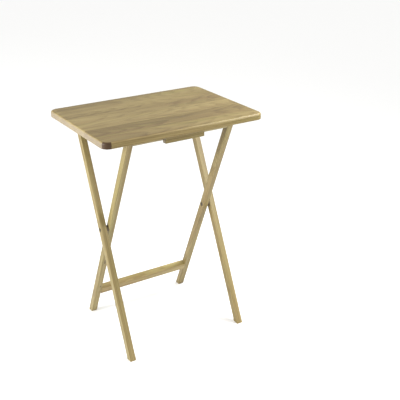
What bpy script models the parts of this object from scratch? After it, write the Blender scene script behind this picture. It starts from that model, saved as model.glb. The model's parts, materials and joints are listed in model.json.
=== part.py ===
"""Folding tray table: a solid wood top on two crossed leg frames.

World axes: X runs along the table's long side, -Y is the user's side, +Z is up.
The origin is on the floor under the centre of the top.
The outer legs are hinged to cleats near the back of the top and stand at the front.
The inner legs carry the crossbar under the front of the top and stand at the back.
"""

import math

import bmesh
import bpy
from mathutils import Matrix, Vector

# ---- Driving dimensions (metres, degrees) ----
HEIGHT = 0.650                # floor to the top's upper face
TOP_LENGTH = 0.490
TOP_DEPTH = 0.356
TOP_THICK = 0.018
TOP_CORNER = 0.022            # corner radius in plan
TOP_ROUND = 0.006             # round-over of the upper edge
REAR_OVERHANG = 0.0559        # back edge of the top to the hinge axis
FRONT_OVERHANG = 0.0420       # front edge of the top to the crossbar's axis
END_OVERHANG = 0.0565         # end of the top to the outer face of the outer legs

LEAN = math.radians(24.3)     # each leg's lean from vertical
LEG_WIDTH = 0.018             # along X
LEG_DEPTH = 0.018
FRAME_GAP = 0.006             # between an outer leg and its inner neighbour

STRETCHER_DEPTH = 0.020
STRETCHER_HEIGHT = 0.022
STRETCHER_DROP = 0.275        # down the inner legs from the scissor pivot
TENON_R = 0.005
TENON_LENGTH = 0.012
PIN_R = 0.00125               # steel pins that lock the tenons
PIN_SETBACK = 0.006           # from the leg's inner face

ROD_R = 0.008                 # round rod between the outer legs
ROD_DROP = 0.024              # down the outer legs from the hinge axis

CLEAT_WIDTH = 0.016
CLEAT_HEIGHT = 0.022
CLEAT_LENGTH = 0.264
CLEAT_REAR_INSET = 0.010      # from the top's back edge
CLEAT_SCREW_INSET = 0.018     # end screws from the cleat's ends

BLOCK_LENGTH = 0.120          # stop block for the crossbar
BLOCK_HEIGHT = 0.0212
BLOCK_WALL = 0.0145           # wood in front of the crossbar
BLOCK_COVE_ANGLE = math.radians(50)
BLOCK_SCREW_SPREAD = 0.080

BOLT_R = 0.003                # scissor pivot bolts and hinge pins
BOLT_HEAD_R = 0.006
BOLT_HEAD_HEIGHT = 0.003
CAP_HEIGHT = 0.0035
CAP_GRIP = 0.0022             # shank inside its cap
SPACER_R = 0.0085
WASHER_THICK = 0.0015
RECESS = 0.0005               # how far a let-in head lies below the wood

SCREW_R = 0.00175
SCREW_HEAD_R = 0.0035
SCREW_HEAD_HEIGHT = 0.0022
SCREW_BITE = 0.0105           # screw length inside the last piece
SCREW_SINK = 0.009            # counterbore under a cleat or the block

EASE = 0.0015                 # softened edges of the wood
GAP = 0.0003                  # between pieces that touch
AXIS_CLEAR = 0.0006           # between a round leg end and the top's underside
COVE_CLEAR = 0.0005           # between the crossbar and its cove
ROUND_SEGMENTS = 32
SMALL_SEGMENTS = 20
HOLE_SEGMENTS = 24

# ---- Worked out from them ----
AXIS_DROP = LEG_DEPTH / 2 + AXIS_CLEAR            # underside to hinge and crossbar axes
AXIS_Z = HEIGHT - TOP_THICK - AXIS_DROP
HINGE_Y = TOP_DEPTH / 2 - REAR_OVERHANG
CROSSBAR_Y = FRONT_OVERHANG - TOP_DEPTH / 2
HALF_SPAN = (HINGE_Y - CROSSBAR_Y) / 2
ARM = HALF_SPAN / math.sin(LEAN)                  # scissor pivot to either upper axis
PIVOT_Y = (HINGE_Y + CROSSBAR_Y) / 2
PIVOT_Z = AXIS_Z - ARM * math.cos(LEAN)
OUTER_FACE = TOP_LENGTH / 2 - END_OVERHANG        # outer face of an outer leg
OUTER_LEG_X = OUTER_FACE - LEG_WIDTH / 2
INNER_LEG_X = OUTER_LEG_X - LEG_WIDTH - FRAME_GAP
INNER_FACE = INNER_LEG_X - LEG_WIDTH / 2          # face that the stretcher butts on
CLEAT_X = OUTER_FACE + 2 * GAP + WASHER_THICK + CLEAT_WIDTH / 2
COUNTERBORE = BOLT_HEAD_HEIGHT + RECESS + GAP
SIDES = {"left": -1, "right": 1}


def make_material(name, color, roughness, metallic=0.0):
    """A Principled material."""
    material = bpy.data.materials.new(name)
    material.use_nodes = True
    shader = material.node_tree.nodes["Principled BSDF"]
    shader.inputs["Base Color"].default_value = (*color, 1)
    shader.inputs["Roughness"].default_value = roughness
    shader.inputs["Metallic"].default_value = metallic
    return material


def make_frame(name, y, z, turn=0.0):
    """An empty on a joint axis, turned about X, that carries one body's pieces."""
    frame = bpy.data.objects.new(name, None)
    bpy.context.collection.objects.link(frame)
    frame.location = (0, y, z)
    frame.rotation_euler = (turn, 0, 0)
    return frame


def place(name, bm, material, frame, location=(0, 0, 0), rotation=None):
    """Turn a bmesh into a named object in a body's frame."""
    mesh = bpy.data.meshes.new(name)
    bmesh.ops.recalc_face_normals(bm, faces=bm.faces)
    bm.to_mesh(mesh)
    bm.free()
    mesh.shade_smooth()
    mesh.set_sharp_from_angle(angle=math.radians(35))
    obj = bpy.data.objects.new(name, mesh)
    bpy.context.collection.objects.link(obj)
    obj.parent = frame
    obj.matrix_local = Matrix.Translation(location) @ (rotation or Matrix())
    if material:
        mesh.materials.append(material)
    return obj


def arc(center, radius, start, end, steps):
    """Points on an arc, angles from +first axis towards +second axis."""
    angles = [start + (end - start) * i / steps for i in range(steps + 1)]
    return [(center[0] + radius * math.cos(t), center[1] + radius * math.sin(t)) for t in angles]


def prism_x(outline, width):
    """A (y, z) outline extruded symmetrically along X."""
    bm = bmesh.new()
    face = bm.faces.new([bm.verts.new((-width / 2, y, z)) for y, z in outline])
    extruded = bmesh.ops.extrude_face_region(bm, geom=[face])
    moved = [v for v in extruded["geom"] if isinstance(v, bmesh.types.BMVert)]
    bmesh.ops.translate(bm, verts=moved, vec=(width, 0, 0))
    bmesh.ops.recalc_face_normals(bm, faces=bm.faces)
    return bm


def ease(bm, width=EASE, segments=2, chosen=None):
    """Round the square edges, or only the chosen ones."""
    edges = chosen or [e for e in bm.edges if e.calc_face_angle() > math.radians(60)]
    bmesh.ops.bevel(bm, geom=edges, offset=width, segments=segments, profile=0.5,
                    affect="EDGES", clamp_overlap=True)
    return bm


def box(size, eased=EASE):
    """A box with softened edges, centred on its own origin."""
    bm = bmesh.new()
    bmesh.ops.create_cube(bm, size=1)
    bmesh.ops.scale(bm, vec=size, verts=bm.verts)
    return ease(bm, eased)


def turned(profile, segments=SMALL_SEGMENTS, ring=False):
    """A body turned about Z from (radius, z) points; a ring's profile closes on itself."""
    bm = bmesh.new()
    loops = []
    for radius, z in profile:
        if radius == 0:
            loops.append([bm.verts.new((0, 0, z))])
            continue
        turns = [2 * math.pi * i / segments for i in range(segments)]
        loops.append([bm.verts.new((radius * math.cos(t), radius * math.sin(t), z)) for t in turns])
    pairs = list(zip(loops, loops[1:]))
    if ring:
        pairs.append((loops[-1], loops[0]))
    for low, high in pairs:
        for i in range(segments):
            j = (i + 1) % segments
            corners = [low[i % len(low)], low[j % len(low)], high[j % len(high)], high[i % len(high)]]
            bm.faces.new(list(dict.fromkeys(corners)))
    return bm


def aim(direction):
    """Rotation that takes local +Z to a direction."""
    return Vector(direction).to_track_quat("Z", "Y").to_matrix().to_4x4()


def drill(pieces, frame, start, direction, steps, lead=0.001):
    """Cut one round hole into the pieces, starting a little before the given point.

    steps are (radius, depth) pairs from the mouth inwards, so a counterbore comes first.
    """
    direction = Vector(direction)
    profile = [(0, -lead)]
    reached = -lead
    for radius, depth in steps:
        profile += [(radius, reached), (radius, depth)]
        reached = depth
    profile.append((0, reached))
    cutter = place("cutter", turned(profile, HOLE_SEGMENTS), None, frame, start, aim(direction))
    cutter.hide_render = True
    cutter.display_type = "WIRE"
    for piece in pieces:
        if "holes" not in piece.modifiers:
            cut = piece.modifiers.new("holes", "BOOLEAN")
            cut.operation = "DIFFERENCE"
            cut.solver = "EXACT"
            cut.operand_type = "COLLECTION"
            cut.collection = bpy.data.collections.new(f"holes_in_{piece.name}")
        piece.modifiers["holes"].collection.objects.link(cutter)


def screw_profile(length):
    """Pan-head screw: head below z = 0, shank above."""
    tip = SCREW_R * 1.6
    return [(0, -SCREW_HEAD_HEIGHT), (SCREW_HEAD_R * 0.72, -SCREW_HEAD_HEIGHT),
            (SCREW_HEAD_R, -SCREW_HEAD_HEIGHT * 0.45), (SCREW_HEAD_R, 0), (SCREW_R, 0),
            (SCREW_R, length - tip), (0, length)]


def bolt_profile(length):
    """Low-domed bolt: head below z = 0, plain shank above."""
    return [(0, -BOLT_HEAD_HEIGHT), (BOLT_HEAD_R * 0.7, -BOLT_HEAD_HEIGHT * 0.93),
            (BOLT_HEAD_R, -BOLT_HEAD_HEIGHT * 0.5), (BOLT_HEAD_R, 0), (BOLT_R, 0), (BOLT_R, length),
            (0, length)]


def cap_profile():
    """Domed cap with a blind bore; it sits on z = 0 and swallows the shank's end."""
    bore = BOLT_R + GAP
    return [(0, CAP_GRIP + GAP), (bore, CAP_GRIP + GAP), (bore, 0), (BOLT_HEAD_R, 0),
            (BOLT_HEAD_R, CAP_HEIGHT * 0.5), (BOLT_HEAD_R * 0.7, CAP_HEIGHT * 0.93), (0, CAP_HEIGHT)]


def drive_screw(name, frame, at, direction, first, last, through, sink):
    """Place one screw whose head is let into the first piece.

    at is the point on the first piece's surface; through is what the shank crosses before
    it bites into the last piece; sink is the depth of the counterbore.
    """
    direction = Vector(direction)
    seat = Vector(at) + direction * (sink - GAP)
    length = through - sink + SCREW_BITE + 2 * GAP
    place(name, turned(screw_profile(length)), STEEL, frame, seat, aim(direction))
    steps = [(SCREW_HEAD_R + GAP, sink), (SCREW_R + GAP, through + SCREW_BITE + 2 * GAP)]
    drill([first, last], frame, at, direction, steps)


def leg_outline(lean):
    """Side outline of a leg about the scissor pivot: round at the top, cut level at the floor."""
    half = LEG_DEPTH / 2
    foot = [(y, -(PIVOT_Z + y * math.sin(lean)) / math.cos(lean)) for y in (-half, half)]
    return arc((0, ARM), half, 0, math.pi, 16) + foot


def make_leg(name, x, frame, lean):
    return place(name, ease(prism_x(leg_outline(lean), LEG_WIDTH)), WOOD, frame, (x, 0, 0))


def make_top():
    """The panel: rounded corners, a round-over above and softened edges below."""
    long_half = TOP_LENGTH / 2 - TOP_CORNER
    deep_half = TOP_DEPTH / 2 - TOP_CORNER
    outline = []
    for quarter, (sx, sy) in enumerate(((1, 1), (-1, 1), (-1, -1), (1, -1))):
        start = quarter * math.pi / 2
        outline += arc((sx * long_half, sy * deep_half), TOP_CORNER, start, start + math.pi / 2, 8)
    bm = bmesh.new()
    low = AXIS_DROP
    face = bm.faces.new([bm.verts.new((x, y, low)) for x, y in outline])
    extruded = bmesh.ops.extrude_face_region(bm, geom=[face])
    upper = [v for v in extruded["geom"] if isinstance(v, bmesh.types.BMVert)]
    bmesh.ops.translate(bm, verts=upper, vec=(0, 0, TOP_THICK))
    bmesh.ops.recalc_face_normals(bm, faces=bm.faces)
    rims = [e for e in bm.edges if abs(e.verts[0].co.z - e.verts[1].co.z) < EASE]
    above = [e for e in rims if e.verts[0].co.z > low + EASE]
    below = [e for e in rims if e not in above]
    ease(bm, TOP_ROUND, 5, above)
    ease(bm, EASE, 2, [e for e in below if e.is_valid])
    return place("tabletop", bm, WOOD_TOP, TOP_FRAME, (0, -HINGE_Y, 0))


def make_cleat(side, sign, top):
    """Batten under one end of the top that holds the hinge pin."""
    rear = REAR_OVERHANG - CLEAT_REAR_INSET
    middle = rear - CLEAT_LENGTH / 2
    bottom = AXIS_DROP - GAP - CLEAT_HEIGHT
    size = (CLEAT_WIDTH, CLEAT_LENGTH, CLEAT_HEIGHT)
    at = (sign * CLEAT_X, middle, bottom + CLEAT_HEIGHT / 2)
    cleat = place(f"cleat_{side}", box(size), WOOD, TOP_FRAME, at)
    reach = CLEAT_LENGTH / 2 - CLEAT_SCREW_INSET
    for number, offset in enumerate((reach, 0, -reach), 1):
        drive_screw(f"cleat_screw_{side}_{number}", TOP_FRAME, (sign * CLEAT_X, middle + offset, bottom),
                    (0, 0, 1), cleat, top, CLEAT_HEIGHT + GAP, SCREW_SINK)
    return cleat


def make_block(top):
    """Stop block: the crossbar nests in the cove along its back."""
    cove = LEG_DEPTH / 2 + COVE_CLEAR
    bar_y = CROSSBAR_Y - HINGE_Y
    front = bar_y - cove - BLOCK_WALL
    upper = AXIS_DROP - GAP
    lower = upper - BLOCK_HEIGHT
    hollow = arc((bar_y, 0), cove, math.pi, math.pi - BLOCK_COVE_ANGLE, 8)
    outline = [(front, lower), (bar_y - cove, lower), *hollow, (hollow[-1][0], upper), (front, upper)]
    block = place("catch_block", ease(prism_x(outline, BLOCK_LENGTH), 0.001), WOOD, TOP_FRAME)
    for number, sign in enumerate((-1, 1), 1):
        at = (sign * BLOCK_SCREW_SPREAD / 2, front + BLOCK_WALL / 2, lower)
        drive_screw(f"block_screw_{number}", TOP_FRAME, at, (0, 0, 1), block, top,
                    BLOCK_HEIGHT + GAP, SCREW_SINK)


def make_hinge(side, sign, leg, cleat):
    """Pin through an outer leg into its cleat, with a washer between and a cap outside."""
    out = (sign, 0, 0)
    inner = OUTER_FACE - LEG_WIDTH
    seat = inner + COUNTERBORE - GAP
    cap = CLEAT_X + CLEAT_WIDTH / 2 + GAP
    pin = turned(bolt_profile(cap + CAP_GRIP - seat))
    place(f"hinge_pin_{side}", pin, STEEL, TOP_FRAME, (sign * seat, 0, 0), aim(out))
    place(f"hinge_cap_{side}", turned(cap_profile()), STEEL, TOP_FRAME, (sign * cap, 0, 0), aim(out))
    hole = BOLT_R + GAP
    ring = [(hole, 0), (SPACER_R, 0), (SPACER_R, WASHER_THICK), (hole, WASHER_THICK)]
    washer_x = sign * (OUTER_FACE + GAP)
    place(f"hinge_washer_{side}", turned(ring, ring=True), NYLON, TOP_FRAME, (washer_x, 0, 0), aim(out))
    steps = [(BOLT_HEAD_R + GAP, COUNTERBORE), (hole, cap - inner + RECESS)]
    drill([leg, cleat], TOP_FRAME, (sign * inner, 0, 0), out, steps)


def make_pivot(side, sign, outer_leg, inner_leg):
    """Scissor pivot: bolt head let into the outer leg, spacer, capped end let into the inner leg."""
    inward = (-sign, 0, 0)
    head = OUTER_FACE - COUNTERBORE + GAP
    cap_seat = CAP_HEIGHT + RECESS + GAP
    cap = INNER_FACE + cap_seat - GAP
    hole = BOLT_R + GAP
    bolt = turned(bolt_profile(head - cap + CAP_GRIP))
    place(f"pivot_bolt_{side}", bolt, STEEL, OUTER_FRAME, (sign * head, 0, 0), aim(inward))
    place(f"pivot_cap_{side}", turned(cap_profile()), STEEL, OUTER_FRAME, (sign * cap, 0, 0), aim(inward))
    thick = FRAME_GAP - 2 * GAP
    ring = [(hole, 0), (SPACER_R, 0), (SPACER_R, thick), (hole, thick)]
    spacer_x = sign * (OUTER_FACE - LEG_WIDTH - GAP)
    place(f"pivot_spacer_{side}", turned(ring, ring=True), NYLON, OUTER_FRAME, (spacer_x, 0, 0), aim(inward))
    through = OUTER_FACE - INNER_FACE
    wide = BOLT_HEAD_R + GAP
    steps = [(wide, COUNTERBORE), (hole, through - cap_seat), (wide, through + RECESS)]
    drill([outer_leg, inner_leg], OUTER_FRAME, (sign * OUTER_FACE, 0, 0), inward, steps)


def tenoned_rod(name, radius, shoulder, frame, z):
    """Round bar along X with a smaller round tenon at each end."""
    tip = shoulder + TENON_LENGTH
    profile = [(0, -tip), (TENON_R, -tip), (TENON_R, -shoulder), (radius, -shoulder),
               (radius, shoulder), (TENON_R, shoulder), (TENON_R, tip), (0, tip)]
    return place(name, turned(profile, ROUND_SEGMENTS), WOOD, frame, (0, 0, z), aim((1, 0, 0)))


def join_tenon(bar, side, z, frame, leg, leg_face, face):
    """Socket for a tenon in the leg's inner face, and the steel pin across it.

    The pin is driven from the leg's front (-1) or back (1) face.
    """
    sign = SIDES[side]
    drill([leg], frame, (sign * leg_face, 0, z), (sign, 0, 0), [(TENON_R + GAP, TENON_LENGTH)])
    start = (sign * (leg_face + PIN_SETBACK), face * LEG_DEPTH / 2, z)
    inward = (0, -face, 0)
    length = LEG_DEPTH / 2 + TENON_R - RECESS
    head = Vector(start) + Vector(inward) * RECESS
    pin = turned([(0, 0), (PIN_R, 0), (PIN_R, length), (0, length)])
    place(f"{bar.name}_pin_{side}", pin, STEEL, frame, head, aim(inward))
    drill([leg, bar], frame, start, inward, [(PIN_R + GAP, RECESS + length + GAP)])


def make_stretcher(shoulder):
    """Square bar with a round tenon at each end."""
    size = (2 * shoulder, STRETCHER_DEPTH, STRETCHER_HEIGHT)
    at = (0, 0, -STRETCHER_DROP)
    stretcher = place("stretcher", box(size), WOOD, INNER_FRAME, at)
    tip = shoulder + TENON_LENGTH
    core_profile = [(0, -tip), (TENON_R, -tip), (TENON_R, tip), (0, tip)]
    core = place("tenon_core", turned(core_profile, ROUND_SEGMENTS), None, INNER_FRAME, at, aim((1, 0, 0)))
    core.hide_render = True
    core.display_type = "WIRE"
    tenons = stretcher.modifiers.new("tenons", "BOOLEAN")
    tenons.operation = "UNION"
    tenons.solver = "EXACT"
    tenons.object = core
    return stretcher


def make_crosspieces(outer, inner):
    """Crossbar and stretcher between the inner legs, and the rod between the outer legs."""
    outer_inside = OUTER_FACE - LEG_WIDTH
    crossbar = tenoned_rod("crossbar", LEG_DEPTH / 2, INNER_FACE - GAP, INNER_FRAME, ARM)
    rear_rod = tenoned_rod("rear_rod", ROD_R, outer_inside - GAP, OUTER_FRAME, ARM - ROD_DROP)
    stretcher = make_stretcher(INNER_FACE - GAP)
    for side in SIDES:
        join_tenon(crossbar, side, ARM, INNER_FRAME, inner[side], INNER_FACE, 1)
        join_tenon(stretcher, side, -STRETCHER_DROP, INNER_FRAME, inner[side], INNER_FACE, -1)
        join_tenon(rear_rod, side, ARM - ROD_DROP, OUTER_FRAME, outer[side], outer_inside, 1)


for old in list(bpy.data.objects):
    bpy.data.objects.remove(old, do_unlink=True)

WOOD_TOP = make_material("wood_top", (0.52, 0.41, 0.23), 0.5)
WOOD = make_material("wood_frame", (0.47, 0.36, 0.19), 0.55)
STEEL = make_material("steel", (0.13, 0.105, 0.075), 0.35, 1.0)
NYLON = make_material("nylon", (0.085, 0.055, 0.028), 0.5)

OUTER_FRAME = make_frame("outer_frame", PIVOT_Y, PIVOT_Z, -LEAN)
INNER_FRAME = make_frame("inner_frame", PIVOT_Y, PIVOT_Z, LEAN)
TOP_FRAME = make_frame("top", HINGE_Y, AXIS_Z)

outer_legs = {}
inner_legs = {}
for side_name, side_sign in SIDES.items():
    outer_x = side_sign * OUTER_LEG_X
    inner_x = side_sign * INNER_LEG_X
    outer_legs[side_name] = make_leg(f"outer_leg_{side_name}", outer_x, OUTER_FRAME, -LEAN)
    inner_legs[side_name] = make_leg(f"inner_leg_{side_name}", inner_x, INNER_FRAME, LEAN)

tabletop = make_top()
for side_name, side_sign in SIDES.items():
    side_cleat = make_cleat(side_name, side_sign, tabletop)
    make_hinge(side_name, side_sign, outer_legs[side_name], side_cleat)
    make_pivot(side_name, side_sign, outer_legs[side_name], inner_legs[side_name])
make_block(tabletop)
make_crosspieces(outer_legs, inner_legs)
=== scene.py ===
"""Looks of the folding tray table: finer meshes, wood, metal and nylon materials, light and camera.

Every piece is built in its own local frame, so its wood runs along the piece:
a leg's frame is at the scissor pivot with +Z up the leg, and the top's is under its middle.
"""

import json
import math

import bmesh
import bpy
from mathutils import Euler, Matrix, Vector

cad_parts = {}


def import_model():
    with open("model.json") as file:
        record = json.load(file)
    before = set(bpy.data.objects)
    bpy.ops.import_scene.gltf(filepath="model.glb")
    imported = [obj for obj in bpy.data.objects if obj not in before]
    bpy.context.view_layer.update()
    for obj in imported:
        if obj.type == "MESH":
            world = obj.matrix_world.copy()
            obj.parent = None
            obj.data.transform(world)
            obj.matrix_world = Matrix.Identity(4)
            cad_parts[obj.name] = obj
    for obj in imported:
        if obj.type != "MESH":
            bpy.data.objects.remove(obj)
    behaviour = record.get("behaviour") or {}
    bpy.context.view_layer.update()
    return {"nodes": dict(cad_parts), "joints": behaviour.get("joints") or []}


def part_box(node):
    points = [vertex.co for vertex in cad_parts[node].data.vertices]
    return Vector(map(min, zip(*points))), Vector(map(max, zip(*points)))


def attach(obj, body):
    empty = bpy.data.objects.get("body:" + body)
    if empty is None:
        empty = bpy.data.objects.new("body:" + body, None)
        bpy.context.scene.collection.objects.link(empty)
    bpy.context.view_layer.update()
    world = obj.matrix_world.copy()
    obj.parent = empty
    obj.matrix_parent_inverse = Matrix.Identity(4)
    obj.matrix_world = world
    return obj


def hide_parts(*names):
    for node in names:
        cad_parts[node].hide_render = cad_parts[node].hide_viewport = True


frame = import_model()

# ---- Dimensions that the CAD solids are built with (metres) ----
LEG_DEPTH = 0.018
TOP_CORNER = 0.022
TOP_ROUND = 0.006
EASE = 0.0015
ROD_R = 0.008
TENON_R = 0.005
TENON_LENGTH = 0.012
STRETCHER_DROP = 0.275
STRETCHER_DEPTH = 0.020
STRETCHER_HEIGHT = 0.022
ROD_DROP = 0.024
PIN_R = 0.00125
PIN_SETBACK = 0.006
BOLT_R = 0.003
BOLT_HEAD_R = 0.006
BOLT_HEAD_HEIGHT = 0.003
CAP_HEIGHT = 0.0035
CAP_GRIP = 0.0022
SPACER_R = 0.0085
SCREW_R = 0.00175
SCREW_HEAD_R = 0.0035
SCREW_HEAD_HEIGHT = 0.0022
SCREW_SINK = 0.009
BLOCK_COVE_ANGLE = math.radians(50)
COVE_CLEAR = 0.0005
RECESS = 0.0005
GAP = 0.0003
COUNTERBORE = BOLT_HEAD_HEIGHT + RECESS + GAP

# ---- Sizes that only the visible meshes have (metres) ----
BLOCK_EASE = 0.001
BAR_SOFT = 0.0008
METAL_SOFT = 0.0003
BOLT_CHAMFER = 0.0004
SOCKET_R = 0.0023
SOCKET_DEPTH = 0.0017
DRIVE_ARM = 0.0019
DRIVE_DEPTH = 0.0012
THREAD_PITCH = 0.0016
THREAD_START = 0.004
CUT_LEAD = 0.002

# ---- Fineness of the visible meshes ----
EASE_STEPS = 4
BLOCK_EASE_STEPS = 3
ROUND_STEPS = 10
CORNER_STEPS = 16
ARC_STEPS = 28
TURN_STEPS = 64
HARDWARE_STEPS = 48
SMALL_STEPS = 32
DOME_STEPS = 8
SHARP_ANGLE = math.radians(35)

# ---- Wood: tones from the darkest latewood to the palest, linear colours ----
TOP_TONES = [(0.105, 0.068, 0.020), (0.170, 0.122, 0.041), (0.222, 0.167, 0.062), (0.280, 0.218, 0.091)]
LEG_TONES = [(0.140, 0.097, 0.032), (0.220, 0.166, 0.064), (0.285, 0.229, 0.098), (0.36, 0.300, 0.146)]
BAR_TONES = [(0.19, 0.128, 0.044), (0.275, 0.207, 0.082), (0.350, 0.275, 0.119), (0.43, 0.347, 0.17)]
TONE_STOPS = (0.34, 0.50, 0.62, 0.78)
# End grain's own colour, made paler and pinker with painted sheen.
END_GRAIN_AND_SHEEN = (0.255, 0.215, 0.165, 1)
# Dark brown of knots and of the painted shade on the top's front-left corner.
KNOT_AND_SHADE_BROWN = (0.045, 0.022, 0.007, 1)
GREENISH = (0.90, 1.0, 0.74, 1)
PINKISH = (1.0, 0.90, 0.93, 1)
TOP_STAVE = 0.0594                # width of the top's glued-up strips
RINGS_PER_METRE = 210.0
RING_WOBBLE = 3.4                 # in rings
HEART_DEPTH = 0.11                # how far the tree's middle lies under a piece
TOP_HEART_DEPTH = 0.05
TOP_HEART_SWING = 0.02
HEART_TURNS = 5.0                 # radians of that swing per metre
SWAY = 0.016
STREAK_SHARE = 0.55
RING_CONTRAST = 0.10
STAVE_CONTRAST = 0.09
# Painted highlight on the rounded rims: its share, and how much paler than the palest tone.
EDGE_HIGHLIGHT = 0.38
EDGE_HIGHLIGHT_PALER = 1.25
STEEL_TINT = (0.13, 0.105, 0.075)
STEEL_ROUGHNESS = 0.28
# Dark brown nylon: painted shade for the gap between the crossed legs.
NYLON_SHADE_TINT = (0.085, 0.055, 0.028)

# ---- Camera and light ----
CAMERA_AT = (-1.0291, -1.8700, 1.2881)
CAMERA_DOWN = 0.3198
CAMERA_YAW = 0.5736
CAMERA_LENS = 71.62
CAMERA_SHIFT = (-0.0234, -0.1654)
KEY_STRENGTH = 1.45
KEY_SPREAD = math.radians(35)
KEY_FROM = (-1.0, -0.06, 0.27)
SKY_STRENGTH = 0.74
CEILING_STRENGTH = 0.54
CEILING_SPREAD = math.radians(70)
# Soft boxes: where each stands (metres), its side and its power (watts).
SOFT_BOXES = {
    "left": ((-0.78, 0.00, 0.72), 0.4, 5.2),
    "front_right": ((0.80, -0.80, 0.85), 0.4, 7.8),
    "overhead": ((0.85, -0.25, 1.40), 0.3, 15.0),
    "back_left": ((-1.3, 3.0, 1.9), 0.8, 8.0),
}
FLOOR_SIZE = 60
FLOOR_CELLS = 8
FLOOR_TINT = (0.93, 0.93, 0.92, 1)

JOINTS = {joint["name"]: Vector(joint["pos_m"]) for joint in frame["joints"]}
PIVOT = JOINTS["leg_scissor"]
HINGE = JOINTS["top_hinge"]
ARM = (HINGE - PIVOT).length
LEAN = math.atan2(HINGE.y - PIVOT.y, HINGE.z - PIVOT.z)
TOP_LOW, TOP_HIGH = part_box("tabletop")
OUTER_FRAME = Matrix.Translation(PIVOT) @ Euler((-LEAN, 0, 0)).to_matrix().to_4x4()
INNER_FRAME = Matrix.Translation(PIVOT) @ Euler((LEAN, 0, 0)).to_matrix().to_4x4()
SIDES = {"left": -1, "right": 1}


# ---- Shapes ----
def arc(center, radius, start, end, steps=ARC_STEPS):
    """Points on an arc, angles from +first axis towards +second axis."""
    angles = [start + (end - start) * i / steps for i in range(steps + 1)]
    return [(center[0] + radius * math.cos(t), center[1] + radius * math.sin(t)) for t in angles]


def prism(outline, length, axis):
    """An outline in the plane across an axis, extruded symmetrically along it."""
    bm = bmesh.new()
    low, high = -length / 2, length / 2
    corners = [(low, a, b) if axis == "X" else (a, b, low) for a, b in outline]
    face = bm.faces.new([bm.verts.new(corner) for corner in corners])
    extruded = bmesh.ops.extrude_face_region(bm, geom=[face])
    moved = [v for v in extruded["geom"] if isinstance(v, bmesh.types.BMVert)]
    shift = Vector((high - low, 0, 0)) if axis == "X" else Vector((0, 0, high - low))
    bmesh.ops.translate(bm, verts=moved, vec=shift)
    bmesh.ops.recalc_face_normals(bm, faces=bm.faces)
    return bm


def ease(bm, width=EASE, steps=EASE_STEPS, chosen=None):
    """Round the square edges, or only the chosen ones."""
    edges = chosen or [e for e in bm.edges if e.calc_face_angle() > math.radians(60)]
    bmesh.ops.bevel(bm, geom=edges, offset=width, segments=steps, profile=0.5,
                    affect="EDGES", clamp_overlap=True)
    return bm


def turned(profile, steps=TURN_STEPS, ring=False):
    """A body turned about Z from (radius, z) points; a ring's profile closes on itself."""
    bm = bmesh.new()
    loops = []
    for radius, z in profile:
        if radius == 0:
            loops.append([bm.verts.new((0, 0, z))])
            continue
        turns = [2 * math.pi * i / steps for i in range(steps)]
        loops.append([bm.verts.new((radius * math.cos(t), radius * math.sin(t), z)) for t in turns])
    pairs = list(zip(loops, loops[1:]))
    if ring:
        pairs.append((loops[-1], loops[0]))
    for low, high in pairs:
        for i in range(steps):
            j = (i + 1) % steps
            corners = [low[i % len(low)], low[j % len(low)], high[j % len(high)], high[i % len(high)]]
            bm.faces.new(list(dict.fromkeys(corners)))
    return bm


def aim(direction):
    """Rotation that takes local +Z to a direction."""
    return Vector(direction).to_track_quat("Z", "Y").to_matrix().to_4x4()


def make_object(name, bm, matrix):
    """A mesh object at a place, with its faces turned outwards."""
    mesh = bpy.data.meshes.new(name)
    bmesh.ops.recalc_face_normals(bm, faces=bm.faces)
    bm.to_mesh(mesh)
    bm.free()
    obj = bpy.data.objects.new(name, mesh)
    bpy.context.scene.collection.objects.link(obj)
    obj.matrix_world = matrix
    return obj


def cut(obj, cutters, operation="DIFFERENCE"):
    """Take the cutters out of a piece, or join them to it, and keep the result as its mesh."""
    group = bpy.data.collections.new(f"cutters_{obj.name}")
    bpy.context.scene.collection.children.link(group)
    for cutter in cutters:
        bpy.context.scene.collection.objects.unlink(cutter)
        group.objects.link(cutter)
    boolean = obj.modifiers.new("cut", "BOOLEAN")
    boolean.operation = operation
    boolean.solver = "EXACT"
    boolean.operand_type = "COLLECTION"
    boolean.collection = group
    graph = bpy.context.evaluated_depsgraph_get()
    obj.data = bpy.data.meshes.new_from_object(obj.evaluated_get(graph))
    obj.modifiers.clear()
    for cutter in cutters:
        bpy.data.objects.remove(cutter)
    bpy.data.collections.remove(group)


def hole(at, direction, steps, lead=CUT_LEAD):
    """A cutter for one round hole: (radius, depth) pairs from the mouth inwards, in world axes."""
    profile = [(0, -lead)]
    reached = -lead
    for radius, depth in steps:
        profile += [(radius, reached), (radius, depth)]
        reached = depth
    profile.append((0, reached))
    return make_object("cutter", turned(profile, HARDWARE_STEPS), Matrix.Translation(at) @ aim(direction))


def finish_piece(obj, body, node, material):
    """Shade a piece, give it its material, and let it stand for its CAD node."""
    obj.data.materials.clear()
    obj.data.materials.append(material)
    obj.data.shade_smooth()
    obj.data.set_sharp_from_angle(angle=SHARP_ANGLE)
    even = obj.modifiers.new("even_shading", "WEIGHTED_NORMAL")
    even.keep_sharp = True
    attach(obj, body)
    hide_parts(node)
    return obj


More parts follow.
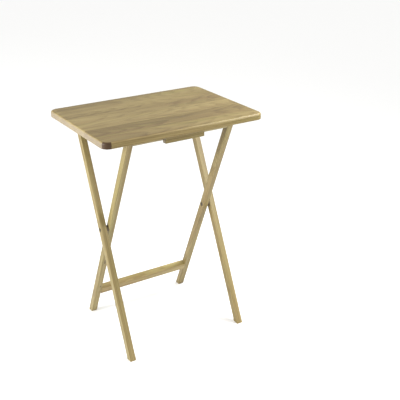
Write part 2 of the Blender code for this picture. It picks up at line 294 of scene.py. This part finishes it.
# ---- Materials ----
class Shading:
    """Node tree of one material, with short calls to add nodes."""

    def __init__(self, name):
        self.material = bpy.data.materials.new(name)
        self.material.use_nodes = True
        self.tree = self.material.node_tree
        self.shader = self.tree.nodes["Principled BSDF"]

    def link(self, value, socket):
        if isinstance(value, bpy.types.NodeSocket):
            self.tree.links.new(value, socket)
        else:
            socket.default_value = value

    def node(self, kind, inputs=None, **settings):
        node = self.tree.nodes.new(f"ShaderNode{kind}")
        for key, value in settings.items():
            setattr(node, key, value)
        for key, value in (inputs or {}).items():
            self.link(value, node.inputs[key])
        return node

    def math(self, operation, first, second=0.0, clamp=False):
        node = self.node("Math", {0: first, 1: second}, operation=operation, use_clamp=clamp)
        return node.outputs[0]

    def vector(self, operation, first, second=(0, 0, 0)):
        return self.node("VectorMath", {0: first, 1: second}, operation=operation).outputs[0]

    def length(self, vector):
        return self.node("VectorMath", {0: vector}, operation="LENGTH").outputs["Value"]

    def smooth(self, value, low, high, out_low=0.0, out_high=1.0):
        inputs = {"Value": value, "From Min": low, "From Max": high, "To Min": out_low, "To Max": out_high}
        return self.node("MapRange", inputs, interpolation_type="SMOOTHSTEP").outputs["Result"]

    def noise(self, vector, scale, detail=3.0, roughness=0.5, distortion=0.0):
        inputs = {"Vector": self.vector("MULTIPLY", vector, scale), "Scale": 1.0, "Detail": detail,
                  "Roughness": roughness, "Distortion": distortion}
        return self.node("TexNoise", inputs)

    def mix(self, factor, first, second, blend="MIX"):
        node = self.node("Mix", data_type="RGBA", blend_type=blend)
        self.link(factor, node.inputs[0])
        self.link(first, node.inputs[6])
        self.link(second, node.inputs[7])
        return node.outputs[2]

    def ramp(self, value, stops):
        node = self.node("ValToRGB", {"Fac": value})
        ramp = node.color_ramp
        while len(ramp.elements) < len(stops):
            ramp.elements.new(0.5)
        for element, (position, color) in zip(ramp.elements, stops):
            element.position = position
            element.color = (*color, 1)
        return node.outputs["Color"]

    def bump(self, height, strength, distance):
        inputs = {"Height": height, "Strength": strength, "Distance": distance}
        self.link(self.node("Bump", inputs).outputs["Normal"], self.shader.inputs["Normal"])


GRAIN_TURN = {"X": (0, 0, 0), "Y": (0, 0, -math.pi / 2), "Z": (0, math.pi / 2, 0)}


def make_wood(name, grain, seed, tones, stave=None, knots_and_shade=(), edge_axis=None, toned=1.0,
              heart=HEART_DEPTH, swing=0.0):
    """Clear-lacquered light hardwood, solid in 3-D, with its grain along one local axis.

    tones run from the darkest latewood to the palest wood. stave is the width of the
    glued-up strips across Y. knots_and_shade are (local point, radius, darkness) triples of
    dark brown spots: knots, and the painted shade on the top's front-left corner.
    edge_axis names the axis of a prism whose rims get a paler painted highlight;
    without it, every rounded edge does.
    toned scales the contrast of rings and hues. heart is how far the tree's middle lies
    under the piece, and swing how far that wanders along the grain.
    """
    s = Shading(name)
    place = s.node("TexCoord")
    local = place.outputs["Object"]
    turn = GRAIN_TURN[grain]
    along = s.node("Mapping", {"Vector": local, "Rotation": turn}).outputs["Vector"]
    normal = s.node("Mapping", {"Vector": place.outputs["Normal"], "Rotation": turn},
                    vector_type="NORMAL").outputs["Vector"]
    facing = s.node("SeparateXYZ", {"Vector": s.vector("ABSOLUTE", normal)})
    own = s.node("SeparateXYZ", {"Vector": s.vector("ABSOLUTE", place.outputs["Normal"])})

    point = s.vector("ADD", along, (seed * 0.731, seed * 0.417, seed * 0.293))
    rings_at = along
    strip_tone = None
    if stave:
        across = s.node("SeparateXYZ", {"Vector": along}).outputs["Y"]
        strip = s.math("FLOOR", s.math("DIVIDE", across, stave))
        chance = s.node("TexWhiteNoise", {"W": s.math("ADD", strip, seed)}, noise_dimensions="1D")
        jump = s.vector("MULTIPLY", chance.outputs["Color"], (3.0, 0.05, 0.10))
        point = s.vector("ADD", point, jump)
        middle = s.math("MULTIPLY", s.math("ADD", strip, 0.5), -stave)
        lane = s.node("CombineXYZ", {"Y": middle}).outputs[0]
        aside = s.vector("MULTIPLY", chance.outputs["Color"], (2.0, 0.02, 0.05))
        rings_at = s.vector("ADD", along, s.vector("ADD", lane, aside))
        strip_tone = chance.outputs["Value"]

    sway = s.noise(point, (1.6, 9.0, 9.0), 2.0)
    sway = s.vector("SUBTRACT", sway.outputs["Color"], (0.5, 0.5, 0.5))
    sway = s.vector("MULTIPLY", sway, (0, SWAY, SWAY))
    fiber = s.vector("ADD", point, sway)

    parts = s.node("SeparateXYZ", {"Vector": s.vector("ADD", rings_at, sway)})
    wander = s.math("SINE", s.math("MULTIPLY", parts.outputs["X"], HEART_TURNS))
    depth = s.math("ADD", parts.outputs["Z"], s.math("MULTIPLY", wander, swing))
    depth = s.math("ADD", depth, heart)
    from_heart = s.node("CombineXYZ", {"Y": parts.outputs["Y"], "Z": depth}).outputs[0]
    radius = s.length(from_heart)
    uneven = s.noise(fiber, (5.0, 24.0, 24.0), 3.0).outputs["Fac"]
    wobbled = s.math("MULTIPLY", uneven, RING_WOBBLE)
    count = s.math("ADD", s.math("MULTIPLY", radius, RINGS_PER_METRE), wobbled)
    ring = s.math("FRACT", count)
    late = s.math("MULTIPLY", s.smooth(ring, 0.35, 0.92), s.smooth(ring, 1.0, 0.93))

    streak = s.noise(fiber, (2.4, 95.0, 95.0), 5.0, 0.62).outputs["Fac"]
    broad = s.noise(fiber, (1.1, 22.0, 22.0), 3.0, 0.55).outputs["Fac"]
    fine = s.noise(fiber, (26.0, 1500.0, 1500.0), 2.0, 0.6).outputs["Fac"]
    tone = s.math("MULTIPLY", s.math("ADD", streak, broad), STREAK_SHARE)
    tone = s.math("SUBTRACT", tone, s.math("MULTIPLY", late, RING_CONTRAST * toned))
    if strip_tone is not None:
        offset = s.math("MULTIPLY", s.math("SUBTRACT", strip_tone, 0.5), STAVE_CONTRAST)
        tone = s.math("ADD", tone, offset)
    color = s.ramp(tone, list(zip(TONE_STOPS, tones)))

    hue = s.noise(fiber, (3.2, 42.0, 42.0), 2.0).outputs["Fac"]
    color = s.mix(s.smooth(hue, 0.52, 0.72, 0.0, 0.55 * toned), color, GREENISH, "MULTIPLY")
    color = s.mix(s.smooth(hue, 0.48, 0.28, 0.0, 0.55 * toned), color, PINKISH, "MULTIPLY")

    pores = s.smooth(fine, 0.60, 0.74)
    color = s.mix(s.math("MULTIPLY", pores, 0.22), color, tuple(c * 0.55 for c in tones[0]) + (1,))
    # End faces lean towards a pale pink: partly end grain's own colour, partly painted sheen.
    end = s.smooth(facing.outputs["X"], 0.55, 0.95)
    color = s.mix(s.math("MULTIPLY", end, 0.60), color, END_GRAIN_AND_SHEEN)

    # Paler rims: a painted highlight along the rounded edges, in uneven patches.
    if edge_axis:
        flat = own.outputs[edge_axis]
        rim = s.math("SQRT", s.math("SUBTRACT", 1.0, s.math("MULTIPLY", flat, flat), True))
        flattest = s.math("MAXIMUM", flat, rim)
    else:
        flattest = s.math("MAXIMUM", own.outputs["Y"], own.outputs["Z"])
        flattest = s.math("MAXIMUM", own.outputs["X"], flattest)
    edge = s.smooth(flattest, 0.985, 0.80)
    patchy = s.smooth(s.noise(local, (24.0, 24.0, 24.0), 3.0).outputs["Fac"], 0.3, 0.7, 0.55, 1.0)
    edge_highlight = s.math("MULTIPLY", s.math("MULTIPLY", edge, patchy), EDGE_HIGHLIGHT)
    color = s.mix(edge_highlight, color, (*[c * EDGE_HIGHLIGHT_PALER for c in tones[3]], 1))

    # Dark brown spots: knots, and painted shade at the top's front-left corner.
    for spot, size, dark in knots_and_shade:
        away = s.vector("DIVIDE", s.vector("SUBTRACT", local, spot), size)
        wobble = s.noise(local, (260.0, 260.0, 260.0), 2.0).outputs["Fac"]
        reach = s.length(away)
        near = s.smooth(s.math("ADD", reach, s.math("MULTIPLY", wobble, 0.4)), 1.30, 1.12, 0.0, dark)
        # On the top a spot stays off the flat face, so the corner's painted shade lies on the rounded corner
        # and end.
        if edge_axis == "Z":
            near = s.math("MULTIPLY", near, s.smooth(own.outputs["Z"], 0.985, 0.93))
        color = s.mix(near, color, KNOT_AND_SHADE_BROWN)
    s.link(color, s.shader.inputs["Base Color"])

    rough = s.math("ADD", s.math("MULTIPLY", streak, 0.16), s.math("MULTIPLY", pores, 0.12))
    rough = s.math("ADD", rough, s.math("MULTIPLY", end, 0.12))
    s.link(s.math("ADD", rough, 0.36), s.shader.inputs["Roughness"])
    s.shader.inputs["Specular IOR Level"].default_value = 0.30
    s.shader.inputs["Coat Weight"].default_value = 0.06
    s.shader.inputs["Coat Roughness"].default_value = 0.24
    relief = s.math("SUBTRACT", s.math("MULTIPLY", streak, 0.5), s.math("MULTIPLY", pores, 0.7))
    s.bump(s.math("SUBTRACT", relief, s.math("MULTIPLY", late, 0.25)), 0.35, 0.0002)
    return s.material


def make_steel(name, color, roughness):
    """Bronzed steel with fine turning marks and faint stains."""
    s = Shading(name)
    place = s.node("TexCoord")
    local = place.outputs["Object"]
    cloud = s.noise(local, (420.0, 420.0, 420.0), 4.0, 0.6).outputs["Fac"]
    parts = s.node("SeparateXYZ", {"Vector": local})
    flat = s.node("CombineXYZ", {"X": parts.outputs["X"], "Y": parts.outputs["Y"]}).outputs[0]
    reach = s.length(flat)
    marks = s.math("SINE", s.math("MULTIPLY", reach, 26000.0))
    stained = s.mix(s.smooth(cloud, 0.42, 0.70, 0.0, 0.6), (*color, 1), tuple(c * 0.5 for c in color) + (1,))
    s.link(stained, s.shader.inputs["Base Color"])
    s.shader.inputs["Metallic"].default_value = 1.0
    s.link(s.math("ADD", s.math("MULTIPLY", cloud, 0.25), roughness), s.shader.inputs["Roughness"])
    s.bump(s.math("ADD", s.math("MULTIPLY", marks, 0.4), cloud), 0.25, 0.00005)
    return s.material


def make_nylon(name, color):
    """Matte moulded nylon with a fine mottled skin."""
    s = Shading(name)
    local = s.node("TexCoord").outputs["Object"]
    cloud = s.noise(local, (300.0, 300.0, 300.0), 3.0).outputs["Fac"]
    grit = s.noise(local, (3500.0, 3500.0, 3500.0), 2.0).outputs["Fac"]
    mottled = s.mix(s.smooth(cloud, 0.35, 0.70, 0.0, 0.5), (*color, 1), tuple(c * 0.72 for c in color) + (1,))
    s.link(mottled, s.shader.inputs["Base Color"])
    s.link(s.math("ADD", s.math("MULTIPLY", grit, 0.2), 0.42), s.shader.inputs["Roughness"])
    s.shader.inputs["Subsurface Weight"].default_value = 0.05
    s.bump(grit, 0.2, 0.00005)
    return s.material


# ---- Pieces ----
def leg_outline(lean):
    """Side outline of a leg about the scissor pivot: round at the top, cut level at the floor."""
    half = LEG_DEPTH / 2
    foot = [(y, -(PIVOT.z + y * math.sin(lean)) / math.cos(lean)) for y in (-half, half)]
    return arc((0, ARM), half, 0, math.pi) + foot


def world(matrix, x, y, z):
    """A point from a body's frame into world axes."""
    return matrix @ Vector((x, y, z))


def swing(matrix, direction):
    """A direction from a body's frame into world axes."""
    return matrix.to_3x3() @ Vector(direction)


def across_x(node):
    """Where a CAD node starts and ends along X."""
    low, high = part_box(node)
    return low.x, high.x


def make_rod(name, body, matrix, z, radius, leg_side, material):
    """Round bar along X with tenons let into the legs, and its pins' holes."""
    low, high = across_x(name)
    tip = (high - low) / 2
    shoulder = tip - TENON_LENGTH
    soft = BAR_SOFT
    profile = [(0, -tip), (TENON_R - soft, -tip), (TENON_R, -tip + soft), (TENON_R, -shoulder),
               (radius - soft, -shoulder), (radius, -shoulder + soft), (radius, shoulder - soft),
               (radius - soft, shoulder), (TENON_R, shoulder), (TENON_R, tip - soft),
               (TENON_R - soft, tip), (0, tip)]
    # The bar is turned about local Z, so its frame lays Z along the table's X.
    place = matrix @ Matrix.Translation((0, 0, z)) @ aim((1, 0, 0))
    bar = make_object(f"{name}_wood", turned(profile), place)
    holes = [pin_hole(matrix, side, z, shoulder + GAP, leg_side) for side in SIDES.values()]
    cut(bar, holes)
    return finish_piece(bar, body, name, material)


def pin_hole(matrix, sign, z, leg_face, face):
    """Hole for a tenon pin, driven from a leg's front (-1) or back (1) face."""
    at = world(matrix, sign * (leg_face + PIN_SETBACK), face * LEG_DEPTH / 2, z)
    depth = LEG_DEPTH / 2 + TENON_R + GAP
    return hole(at, swing(matrix, (0, -face, 0)), [(PIN_R + GAP, depth)])


def make_leg(name, body, matrix, sign, material, rails):
    """One leg with its bores. rails are (distance up the leg, pin face) of the bars let into it."""
    low, high = across_x(name)
    middle = (low + high) / 2
    lean = LEAN if body == "inner_frame" else -LEAN
    leg = ease(prism(leg_outline(lean), high - low, "X"))
    leg = make_object(f"{name}_wood", leg, matrix @ Matrix.Translation((middle, 0, 0)))
    inner_face = low if sign > 0 else high
    outer_face = high if sign > 0 else low
    cutters = []
    for z, face in rails:
        at = world(matrix, inner_face, 0, z)
        cutters.append(hole(at, (sign, 0, 0), [(TENON_R + GAP, TENON_LENGTH)]))
        cutters.append(pin_hole(matrix, sign, z, abs(inner_face), face))
    bore = BOLT_R + GAP
    wide = BOLT_HEAD_R + GAP
    through = high - low + CUT_LEAD
    if body == "outer_frame":
        steps = [(wide, COUNTERBORE), (bore, through)]
        cutters.append(hole((outer_face, PIVOT.y, PIVOT.z), (-sign, 0, 0), steps))
        cutters.append(hole((inner_face, HINGE.y, HINGE.z), (sign, 0, 0), steps))
    else:
        seat = CAP_HEIGHT + RECESS + GAP
        cutters.append(hole((inner_face, PIVOT.y, PIVOT.z), (sign, 0, 0), [(wide, seat), (bore, through)]))
    cut(leg, cutters)
    return finish_piece(leg, body, name, material)


def make_top(material):
    """The panel: rounded corners, a round-over above and softened edges below."""
    size = TOP_HIGH - TOP_LOW
    middle = (TOP_HIGH + TOP_LOW) / 2
    long_half = size.x / 2 - TOP_CORNER
    deep_half = size.y / 2 - TOP_CORNER
    outline = []
    for quarter, (sx, sy) in enumerate(((1, 1), (-1, 1), (-1, -1), (1, -1))):
        start = quarter * math.pi / 2
        outline += arc((sx * long_half, sy * deep_half), TOP_CORNER, start, start + math.pi / 2, CORNER_STEPS)
    bm = prism(outline, size.z, "Z")
    rims = [e for e in bm.edges if abs(e.verts[0].co.z - e.verts[1].co.z) < EASE]
    above = [e for e in rims if e.verts[0].co.z > 0]
    below = [e for e in rims if e not in above]
    ease(bm, TOP_ROUND, ROUND_STEPS, above)
    ease(bm, EASE, EASE_STEPS, [e for e in below if e.is_valid])
    top = make_object("tabletop_wood", bm, Matrix.Translation(middle))
    cutters = []
    for node in frame["nodes"]:
        if "_screw_" in node:
            low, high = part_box(node)
            at = ((low.x + high.x) / 2, (low.y + high.y) / 2, TOP_LOW.z)
            cutters.append(hole(at, (0, 0, 1), [(SCREW_R + GAP, high.z + GAP - TOP_LOW.z)]))
    cut(top, cutters)
    return finish_piece(top, "top", "tabletop", material)


def screw_holes(prefix, mouth):
    """Counterbored through holes for the screws whose names start with a prefix."""
    cutters = []
    for node in frame["nodes"]:
        if node.startswith(prefix):
            low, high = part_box(node)
            at = ((low.x + high.x) / 2, (low.y + high.y) / 2, mouth)
            steps = [(SCREW_HEAD_R + GAP, SCREW_SINK), (SCREW_R + GAP, high.z - mouth)]
            cutters.append(hole(at, (0, 0, 1), steps))
    return cutters


def make_cleat(side, sign, material):
    """Batten under one end of the top, with its screw holes and the hinge pin's bore."""
    name = f"cleat_{side}"
    low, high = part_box(name)
    size = high - low
    bm = bmesh.new()
    bmesh.ops.create_cube(bm, size=1)
    bmesh.ops.scale(bm, vec=size, verts=bm.verts)
    cleat = make_object(f"{name}_wood", ease(bm), Matrix.Translation((low + high) / 2))
    inner_face = low.x if sign > 0 else high.x
    cutters = screw_holes(f"cleat_screw_{side}", low.z)
    cutters.append(hole((inner_face, HINGE.y, HINGE.z), (sign, 0, 0), [(BOLT_R + GAP, size.x + CUT_LEAD)]))
    cut(cleat, cutters)
    return finish_piece(cleat, "top", name, material)


def make_block(material):
    """Stop block: the crossbar nests in the cove along its back."""
    low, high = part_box("catch_block")
    bar_low, bar_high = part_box("crossbar")
    bar_y = (bar_low.y + bar_high.y) / 2
    bar_z = (bar_low.z + bar_high.z) / 2
    cove = LEG_DEPTH / 2 + COVE_CLEAR
    hollow = arc((bar_y, bar_z), cove, math.pi, math.pi - BLOCK_COVE_ANGLE)
    outline = [(low.y, low.z), (bar_y - cove, low.z), *hollow, (hollow[-1][0], high.z), (low.y, high.z)]
    middle = (low + high) / 2
    outline = [(y - middle.y, z - middle.z) for y, z in outline]
    bm = ease(prism(outline, high.x - low.x, "X"), BLOCK_EASE, BLOCK_EASE_STEPS)
    block = make_object("catch_block_wood", bm, Matrix.Translation(middle))
    cut(block, screw_holes("block_screw", low.z))
    return finish_piece(block, "top", "catch_block", material)


def make_stretcher(material):
    """Square bar with a round tenon at each end, low between the inner legs."""
    low, high = across_x("stretcher")
    tip = (high - low) / 2
    shoulder = tip - TENON_LENGTH
    bm = bmesh.new()
    bmesh.ops.create_cube(bm, size=1)
    bmesh.ops.scale(bm, vec=(2 * shoulder, STRETCHER_DEPTH, STRETCHER_HEIGHT), verts=bm.verts)
    matrix = INNER_FRAME @ Matrix.Translation((0, 0, -STRETCHER_DROP))
    bar = make_object("stretcher_wood", ease(bm), matrix)
    profile = [(0, -tip), (TENON_R, -tip), (TENON_R, tip), (0, tip)]
    core = make_object("core", turned(profile), matrix @ aim((1, 0, 0)))
    cut(bar, [core], "UNION")
    cut(bar, [pin_hole(INNER_FRAME, side, -STRETCHER_DROP, shoulder + GAP, -1) for side in SIDES.values()])
    return finish_piece(bar, "inner_frame", "stretcher", material)


# ---- Hardware ----
def recess_cross(size, depth):
    """Cross-shaped drive recess, cut down from z = 0 towards +Z, tapering a little."""
    bm = bmesh.new()
    arm, half = size, size * 0.24
    outline = [(arm, -half), (arm, half), (half, half), (half, arm), (-half, arm), (-half, half),
               (-arm, half), (-arm, -half), (-half, -half), (-half, -arm), (half, -arm), (half, -half)]
    upper = bm.faces.new([bm.verts.new((x, y, -0.001)) for x, y in outline])
    extruded = bmesh.ops.extrude_face_region(bm, geom=[upper])
    moved = [v for v in extruded["geom"] if isinstance(v, bmesh.types.BMVert)]
    for v in moved:
        v.co = Vector((v.co.x * 0.6, v.co.y * 0.6, depth))
    return bm


def recess_hex(size, depth):
    """Hexagon socket, cut down from z = 0 towards +Z."""
    outline = [(size * math.cos(math.pi * i / 3), size * math.sin(math.pi * i / 3)) for i in range(6)]
    bm = prism(outline, depth + 0.001, "Z")
    bmesh.ops.translate(bm, verts=bm.verts, vec=(0, 0, (depth - 0.001) / 2))
    return bm


def domed(radius, height, flat=0.25, steps=DOME_STEPS):
    """Profile of a low domed head: from the middle of its crown down to its rim."""
    turns = [math.pi / 2 * i / steps for i in range(1, steps + 1)]
    crown = []
    for t in turns:
        drop = 0.55 * (1 - math.cos(t))
        crown.append((radius * (flat + (1 - flat) * math.sin(t)), height * (1 - drop)))
    return [(0, height), (radius * flat, height), *crown]


def axis_frame(node, direction):
    """World matrix with +Z along a direction, at the start of a turned CAD node."""
    low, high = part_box(node)
    middle = (low + high) / 2
    unit = Vector(direction).normalized()
    half = abs((high - low).dot(Vector([abs(c) for c in unit]))) / 2
    return Matrix.Translation(middle - unit * half) @ aim(direction), 2 * half


def make_bolt(node, body, direction, material):
    """Low-domed bolt with a hexagon socket; its head starts the node."""
    matrix, length = axis_frame(node, direction)
    head = [(r, BOLT_HEAD_HEIGHT - z) for r, z in domed(BOLT_HEAD_R, BOLT_HEAD_HEIGHT)]
    profile = [*head, (BOLT_HEAD_R, BOLT_HEAD_HEIGHT), (BOLT_R, BOLT_HEAD_HEIGHT),
               (BOLT_R, length - BOLT_CHAMFER), (BOLT_R - BOLT_CHAMFER, length), (0, length)]
    bolt = make_object(f"{node}_steel", turned(profile, HARDWARE_STEPS), matrix)
    cut(bolt, [make_object("socket", recess_hex(SOCKET_R, SOCKET_DEPTH), matrix)])
    return finish_piece(bolt, body, node, material)


def make_cap(node, body, direction, material):
    """Domed cap with a blind bore that swallows the shank's end."""
    matrix, _ = axis_frame(node, direction)
    bore = BOLT_R + GAP
    crown = domed(BOLT_HEAD_R, CAP_HEIGHT)
    profile = [(0, CAP_GRIP + GAP), (bore, CAP_GRIP + GAP), (bore, 0), (BOLT_HEAD_R - METAL_SOFT, 0),
               (BOLT_HEAD_R, METAL_SOFT), *reversed(crown)]
    cap = make_object(f"{node}_steel", turned(profile, HARDWARE_STEPS), matrix)
    return finish_piece(cap, body, node, material)


def make_ring(node, body, direction, material):
    """Flat nylon ring with softened rims."""
    matrix, thick = axis_frame(node, direction)
    bore = BOLT_R + GAP
    soft = METAL_SOFT
    profile = [(bore + soft, 0), (SPACER_R - soft, 0), (SPACER_R, soft), (SPACER_R, thick - soft),
               (SPACER_R - soft, thick), (bore + soft, thick), (bore, thick - soft), (bore, soft)]
    ring = make_object(f"{node}_nylon", turned(profile, HARDWARE_STEPS, ring=True), matrix)
    return finish_piece(ring, body, node, material)


def make_screw(node, material):
    """Pan-head screw driven upwards, with a cross recess and a threaded shank."""
    matrix, length = axis_frame(node, (0, 0, 1))
    head = [(r, SCREW_HEAD_HEIGHT - z) for r, z in domed(SCREW_HEAD_R, SCREW_HEAD_HEIGHT)]
    root = SCREW_R * 0.74
    tip = SCREW_R * 1.6
    pitch = THREAD_PITCH
    plain = SCREW_HEAD_HEIGHT + THREAD_START
    profile = [*head, (SCREW_HEAD_R, SCREW_HEAD_HEIGHT), (SCREW_R, SCREW_HEAD_HEIGHT), (SCREW_R, plain)]
    z = plain + pitch / 2
    while z + pitch < length - tip:
        profile += [(root, z), (SCREW_R, z + pitch * 0.45), (root, z + pitch * 0.9)]
        z += pitch
    profile += [(root, length - tip), (0, length)]
    screw = make_object(f"{node}_steel", turned(profile, SMALL_STEPS), matrix)
    cut(screw, [make_object("drive", recess_cross(DRIVE_ARM, DRIVE_DEPTH), matrix)])
    return finish_piece(screw, "top", node, material)


def make_pin(node, body, matrix, sign, z, leg_face, face, material):
    """Small steel pin across a tenon, with chamfered ends."""
    inward = swing(matrix, (0, -face, 0))
    at = world(matrix, sign * (leg_face + PIN_SETBACK), face * (LEG_DEPTH / 2 - RECESS), z)
    length = LEG_DEPTH / 2 + TENON_R - RECESS
    soft = METAL_SOFT
    profile = [(0, 0), (PIN_R - soft, 0), (PIN_R, soft), (PIN_R, length - soft),
               (PIN_R - soft, length), (0, length)]
    pin = make_object(f"{node}_steel", turned(profile, SMALL_STEPS), Matrix.Translation(at) @ aim(inward))
    return finish_piece(pin, body, node, material)


# ---- Build ----
steel = make_steel("steel_bronzed", STEEL_TINT, STEEL_ROUGHNESS)
# The nylon's dark brown paints the shade in the gap between the crossed legs.
nylon = make_nylon("nylon_shade_brown", NYLON_SHADE_TINT)

# Painted shade: a dark brown patch on the top's rounded front-left corner, where it catches little light.
corner = Vector(((TOP_LOW.x - TOP_HIGH.x) / 2 + 0.0095, (TOP_LOW.y - TOP_HIGH.y) / 2 + 0.0045, 0))
top_corner_shade = [(corner, (0.0125, 0.0125, 0.05), 0.97)]
top_wood = make_wood("wood_top", "X", 3.0, TOP_TONES, stave=TOP_STAVE, knots_and_shade=top_corner_shade, edge_axis="Z",
                     toned=0.9, heart=TOP_HEART_DEPTH, swing=TOP_HEART_SWING)
make_top(top_wood)

# Dark spots on the inner left leg's front face: a soft dark mark below the pivot and a small knot lower down.
leg_dark_spots = {"inner_leg_left": [((0.001, -0.009, -0.138), (0.0035, 0.005, 0.010), 0.55),
                                ((0.003, -0.009, -0.252), (0.0025, 0.004, 0.004), 0.5)]}
for count, (side, sign) in enumerate(SIDES.items()):
    outer, inner = f"outer_leg_{side}", f"inner_leg_{side}"
    outer_wood = make_wood(f"wood_{outer}", "Z", 11.0 + 7 * count, LEG_TONES, edge_axis="X")
    inner_wood = make_wood(f"wood_{inner}", "Z", 14.0 + 7 * count, LEG_TONES, edge_axis="X",
                           knots_and_shade=leg_dark_spots.get(inner, ()))
    make_leg(outer, "outer_frame", OUTER_FRAME, sign, outer_wood, [(ARM - ROD_DROP, 1)])
    make_leg(inner, "inner_frame", INNER_FRAME, sign, inner_wood, [(ARM, 1), (-STRETCHER_DROP, -1)])
    make_cleat(side, sign, make_wood(f"wood_cleat_{side}", "Y", 31.0 + 5 * count, LEG_TONES))
    make_bolt(f"pivot_bolt_{side}", "outer_frame", (-sign, 0, 0), steel)
    make_cap(f"pivot_cap_{side}", "outer_frame", (-sign, 0, 0), steel)
    make_ring(f"pivot_spacer_{side}", "outer_frame", (-sign, 0, 0), nylon)
    make_bolt(f"hinge_pin_{side}", "top", (sign, 0, 0), steel)
    make_cap(f"hinge_cap_{side}", "top", (sign, 0, 0), steel)
    make_ring(f"hinge_washer_{side}", "top", (sign, 0, 0), nylon)

make_block(make_wood("wood_catch_block", "X", 41.0, LEG_TONES))
make_stretcher(make_wood("wood_stretcher", "X", 45.0, BAR_TONES))
rod_wood = make_wood("wood_rods", "Z", 49.0, LEG_TONES, edge_axis="Z")
make_rod("crossbar", "inner_frame", INNER_FRAME, ARM, LEG_DEPTH / 2, 1, rod_wood)
make_rod("rear_rod", "outer_frame", OUTER_FRAME, ARM - ROD_DROP, ROD_R, 1, rod_wood)

for node in frame["nodes"]:
    if "_screw_" in node:
        make_screw(node, steel)

for side, sign in SIDES.items():
    for bar, body, matrix, z, face in (("crossbar", "inner_frame", INNER_FRAME, ARM, 1),
                                       ("stretcher", "inner_frame", INNER_FRAME, -STRETCHER_DROP, -1),
                                       ("rear_rod", "outer_frame", OUTER_FRAME, ARM - ROD_DROP, 1)):
        leg_face = across_x(bar)[1] - TENON_LENGTH + GAP
        make_pin(f"{bar}_pin_{side}", body, matrix, sign, z, leg_face, face, steel)


# ---- Floor, light and camera ----
def make_floor():
    bm = bmesh.new()
    bmesh.ops.create_grid(bm, x_segments=FLOOR_CELLS, y_segments=FLOOR_CELLS, size=FLOOR_SIZE / 2)
    floor = make_object("floor", bm, Matrix())
    s = Shading("floor_pale")
    s.shader.inputs["Base Color"].default_value = FLOOR_TINT
    s.shader.inputs["Roughness"].default_value = 0.9
    floor.data.materials.append(s.material)


def make_light():
    sky = bpy.data.worlds.new("studio")
    bpy.context.scene.world = sky
    sky.use_nodes = True
    sky.node_tree.nodes["Background"].inputs["Color"].default_value = (1, 1, 1, 1)
    sky.node_tree.nodes["Background"].inputs["Strength"].default_value = SKY_STRENGTH
    key = bpy.data.lights.new("key", "SUN")
    key.energy = KEY_STRENGTH
    key.angle = KEY_SPREAD
    lamp = bpy.data.objects.new("key", key)
    bpy.context.scene.collection.objects.link(lamp)
    lamp.rotation_euler = Vector(KEY_FROM).to_track_quat("Z", "Y").to_euler()
    ceiling = bpy.data.lights.new("ceiling", "SUN")
    ceiling.energy = CEILING_STRENGTH
    ceiling.angle = CEILING_SPREAD
    bpy.context.scene.collection.objects.link(bpy.data.objects.new("ceiling", ceiling))
    aimed_at = Vector((0, 0, TOP_HIGH.z))
    for name, (at, side, power) in SOFT_BOXES.items():
        data = bpy.data.lights.new(name, "AREA")
        data.size = side
        data.energy = power
        lamp = bpy.data.objects.new(name, data)
        bpy.context.scene.collection.objects.link(lamp)
        lamp.visible_camera = False
        lamp.location = at
        lamp.rotation_euler = (Vector(at) - aimed_at).to_track_quat("Z", "Y").to_euler()


def make_camera():
    data = bpy.data.cameras.new("camera")
    data.sensor_width = 36
    data.lens = CAMERA_LENS
    data.shift_x, data.shift_y = CAMERA_SHIFT
    data.clip_end = 200
    camera = bpy.data.objects.new("camera", data)
    bpy.context.scene.collection.objects.link(camera)
    camera.location = CAMERA_AT
    camera.rotation_euler = (math.pi / 2 - CAMERA_DOWN, 0, -CAMERA_YAW)
    bpy.context.scene.camera = camera


make_floor()
make_light()
make_camera()
bpy.context.scene.view_settings.view_transform = "Standard"
